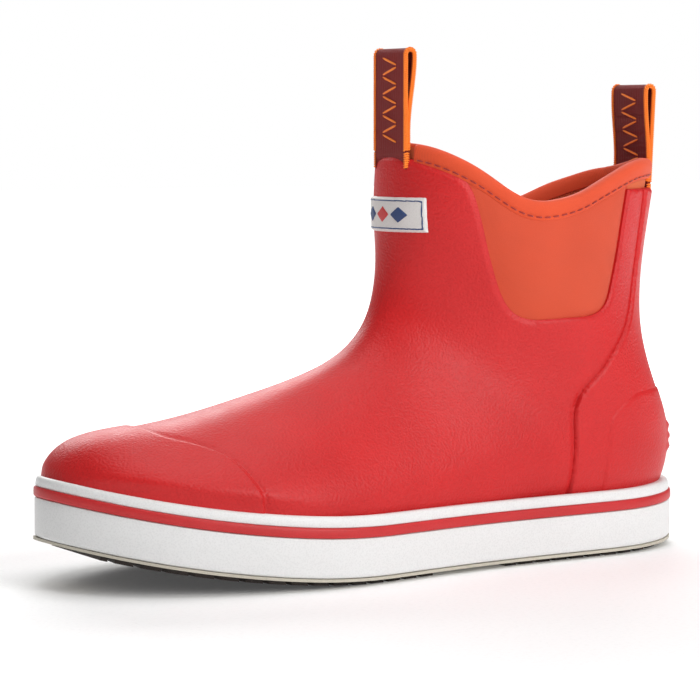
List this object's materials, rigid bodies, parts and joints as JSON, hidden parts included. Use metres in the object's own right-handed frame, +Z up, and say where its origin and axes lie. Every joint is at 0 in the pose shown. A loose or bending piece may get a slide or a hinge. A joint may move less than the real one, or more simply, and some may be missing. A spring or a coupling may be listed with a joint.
{
  "type": "deck boot",
  "caption": "Ankle-height pull-on rubber deck boot for the left foot, with stretch side gores, webbing pull loops, a toe cap, a heel counter and a white cup sole.",
  "frame": {"origin": "on the ground under the middle of the sole", "axes": "+X to the toe, +Y to the outer side of the left foot, +Z up"},
  "size_m": [0.3032, 0.1117, 0.2202],
  "materials": {
    "shell_rubber": "matte satin pebbled",
    "gore_knit": "fine knit",
    "binding_knit": "smooth stretch knit",
    "bootie_foam": "closed-cell foam",
    "lining_mesh": "mesh",
    "thread": "matte",
    "webbing": "woven",
    "badge_rubber": "satin",
    "badge_print": "satin",
    "filler_foam": "foam",
    "board": "fibreboard",
    "footbed_foam": "foam",
    "footbed_cover": "knit",
    "white_rubber": "satin",
    "stripe_rubber": "satin",
    "core_foam": "foam",
    "steel": "brushed",
    "sheet_rubber": "satin",
    "lug_rubber": "matte"
  },
  "bodies": {
    "boot": {"rubber_shell": "shell_rubber", "toe_cap": "shell_rubber", "heel_counter": "shell_rubber", "heel_patch": "shell_rubber", "gore_outer_side": "gore_knit", "gore_inner_side": "gore_knit", "front_pull_tail": "webbing", "rear_pull_tail": "webbing", "foam_bootie": "bootie_foam", "mesh_lining": "lining_mesh", "collar_binding": "binding_knit", "collar_stitching": "thread", "shin_badge": "badge_rubber", "badge_border": "badge_print", "badge_emblem": "badge_print", "heel_filler": "filler_foam", "insole_board": "board", "cup_sole": "white_rubber", "sidewall_stripe": "stripe_rubber", "sole_core": "core_foam", "shank": "steel", "base_sheet": "sheet_rubber", "forefoot_tread": "lug_rubber", "heel_tread": "lug_rubber"},
    "front_pull": {"front_pull_loop": "webbing"},
    "rear_pull": {"rear_pull_loop": "webbing"},
    "footbed": {"footbed_foam": "footbed_foam", "footbed_cover": "footbed_cover"}
  },
  "joints": [
    {"name": "front_pull_fold", "type": "hinge", "parent": "boot", "child": "front_pull", "pos_m": [-0.0113, 0, 0.1768], "axis": [0, 1, 0], "range_deg": [0, 70]},
    {"name": "rear_pull_fold", "type": "hinge", "parent": "boot", "child": "rear_pull", "pos_m": [-0.1384, 0, 0.1622], "axis": [0, -1, 0], "range_deg": [0, 70]},
    {"name": "footbed_lift", "type": "hinge", "parent": "boot", "child": "footbed", "pos_m": [0.128, -0.005, 0.04], "axis": [0, 1, 0], "range_deg": [0, 6]}
  ]
}
